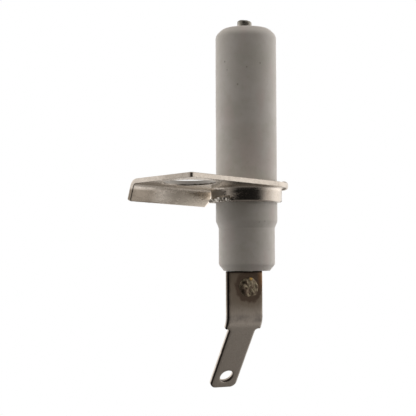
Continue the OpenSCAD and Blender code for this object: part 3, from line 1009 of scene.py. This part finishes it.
# Camera: place in millimetres and small turns in radians, before it is turned round to its side
CAMERA_PLACE = Vector((-5.05, -198.57, -12.63))
CAMERA_YAW = -0.00675
CAMERA_PITCH = 0.042
CAMERA_ROLL = -0.004
CAMERA_LENS = 103.85
CAMERA_SENSOR = 36

# Level light: 0 straight behind the object to 1 at the camera, and the brightness there
LIGHT_ROUND = ((0.0, 0.75), (0.07, 0.85), (0.18, 1.0), (0.33, 1.0), (0.5, 0.73), (0.63, 0.50),
               (0.71, 0.34), (0.82, 0.12), (0.9, 0.012), (1.0, 0.008))
LIGHT_ABOVE = (0.44, 0.41, 0.38)
LIGHT_BELOW = (0.11, 0.101, 0.092)
SKY_STRENGTH = 1.3

FLOOR_R = 0.22
FLOOR_Z = -0.065


def build_camera():
    """Camera level with the lower body, a little below the flange, looking slightly upwards."""
    turn = Matrix.Rotation(VIEW_TURN, 3, "Z")
    yaw, pitch, roll = CAMERA_YAW, CAMERA_PITCH, CAMERA_ROLL
    forward = Vector((sin(yaw) * cos(pitch), cos(yaw) * cos(pitch), sin(pitch)))
    right = Vector((cos(yaw), -sin(yaw), 0))
    up = right.cross(forward)
    right, up = cos(roll) * right + sin(roll) * up, -sin(roll) * right + cos(roll) * up
    axes = Matrix([turn @ right, turn @ up, turn @ -forward]).transposed()
    data = bpy.data.cameras.new("view")
    data.lens = CAMERA_LENS
    data.sensor_width = CAMERA_SENSOR
    data.clip_start = 0.01
    data.clip_end = 10
    camera = bpy.data.objects.new("view", data)
    camera.matrix_world = Matrix.Translation(turn @ CAMERA_PLACE * MM) @ axes.to_4x4()
    bpy.context.scene.collection.objects.link(camera)
    bpy.context.scene.camera = camera


def light_ramp(n, front):
    """Colours through LIGHT_ROUND, a little warmer near the camera."""
    ramp = n.add("ValToRGB", {0: front})
    while len(ramp.color_ramp.elements) < len(LIGHT_ROUND):
        ramp.color_ramp.elements.new(0.5)
    for element, (at, light) in zip(ramp.color_ramp.elements, LIGHT_ROUND):
        element.position = at
        warm = 0.93 if at > 0.6 else 0.96
        element.color = (light, light * warm, light * (warm * 1.9 - 0.9), 1)
    return ramp.outputs[0]


def build_world():
    """White studio: bright behind the object and at its sides, grey above, dark below and in front."""
    world = bpy.data.worlds.new("studio")
    world.use_nodes = True
    bpy.context.scene.world = world
    n = Nodes(world.node_tree)
    direction = n.add("TexCoord").outputs["Generated"]
    level = n.add("VectorMath", {0: direction, 1: (1, 1, 0)}, operation="MULTIPLY").outputs[0]
    level = n.add("VectorMath", {0: level}, operation="NORMALIZE").outputs[0]

    def towards(vector, axis):
        return n.add("VectorMath", {0: vector, 1: tuple(axis)}, operation="DOT_PRODUCT").outputs["Value"]

    around = light_ramp(n, n.band(towards(level, TO_CAMERA), -1, 1, smooth=False))
    side = n.band(towards(level, TO_RIGHT), -1, 1, 0.90, 1.13, smooth=False)
    around = n.add("VectorMath", {0: around, "Scale": side}, operation="SCALE").outputs[0]
    up = towards(direction, (0, 0, 1))
    sky = n.mix(n.band(up, 0.25, 0.85), around, LIGHT_ABOVE)
    sky = n.mix(n.band(up, -0.9, -0.33, 1, 0), sky, LIGHT_BELOW)
    direct = n.add("LightPath").outputs["Is Camera Ray"]
    colour = n.mix(direct, sky, (1.0, 1.0, 1.0))
    strength = n.math("ADD", n.times(direct, 1 - SKY_STRENGTH), SKY_STRENGTH)
    background = world.node_tree.nodes["Background"]
    n.tree.links.new(colour, background.inputs["Color"])
    n.tree.links.new(strength, background.inputs["Strength"])


def build_floor():
    """Pale round floor well below the object, fading out towards its edge and unseen from below."""
    disc = bpy.data.meshes.new("floor")
    shape = bmesh.new()
    bmesh.ops.create_circle(shape, cap_ends=True, segments=96, radius=FLOOR_R)
    shape.to_mesh(disc)
    shape.free()
    floor = bpy.data.objects.new("floor", disc)
    floor.location = (0, 0, FLOOR_Z)
    bpy.context.scene.collection.objects.link(floor)
    p = Paint("floor_pale")
    far = p.add("VectorMath", {0: p.place}, operation="LENGTH").outputs["Value"]
    shade = p.mix(p.band(p.noise(0.02, 2), 0.3, 0.7), (0.86, 0.86, 0.86), (0.90, 0.90, 0.90))
    from_above = p.math("SUBTRACT", 1.0, p.add("NewGeometry").outputs["Backfacing"])
    faded = p.times(p.band(far, FLOOR_R / MM * 0.5, FLOOR_R / MM * 0.97, 1, 0), from_above)
    p.tree.links.new(faded, p.shader.inputs["Alpha"])
    disc.materials.append(p.finish(shade, p.band(far, 0, 200, 0.85, 0.9), Specular_IOR_Level=0.1))
    floor.visible_diffuse = False
    floor.visible_glossy = False


build_camera()
build_world()
build_floor()
build_ceramic()
build_rod()
SEAL = cement("pocket_cement", (0.50, 0.47, 0.42), (0.68, 0.65, 0.60))
build_seal("upper_cement_ring", "upper_cement_seal", UPPER_SEAL_HIGH.z, UPPER_SEAL_LOW.z, SEAL)
build_seal("lower_cement_ring", "lower_cement_seal", LOWER_SEAL_LOW.z, LOWER_SEAL_HIGH.z, SEAL)
build_collar_cement()
build_flange()
build_blade()
build_weld()

bpy.context.scene.view_settings.view_transform = "Standard"
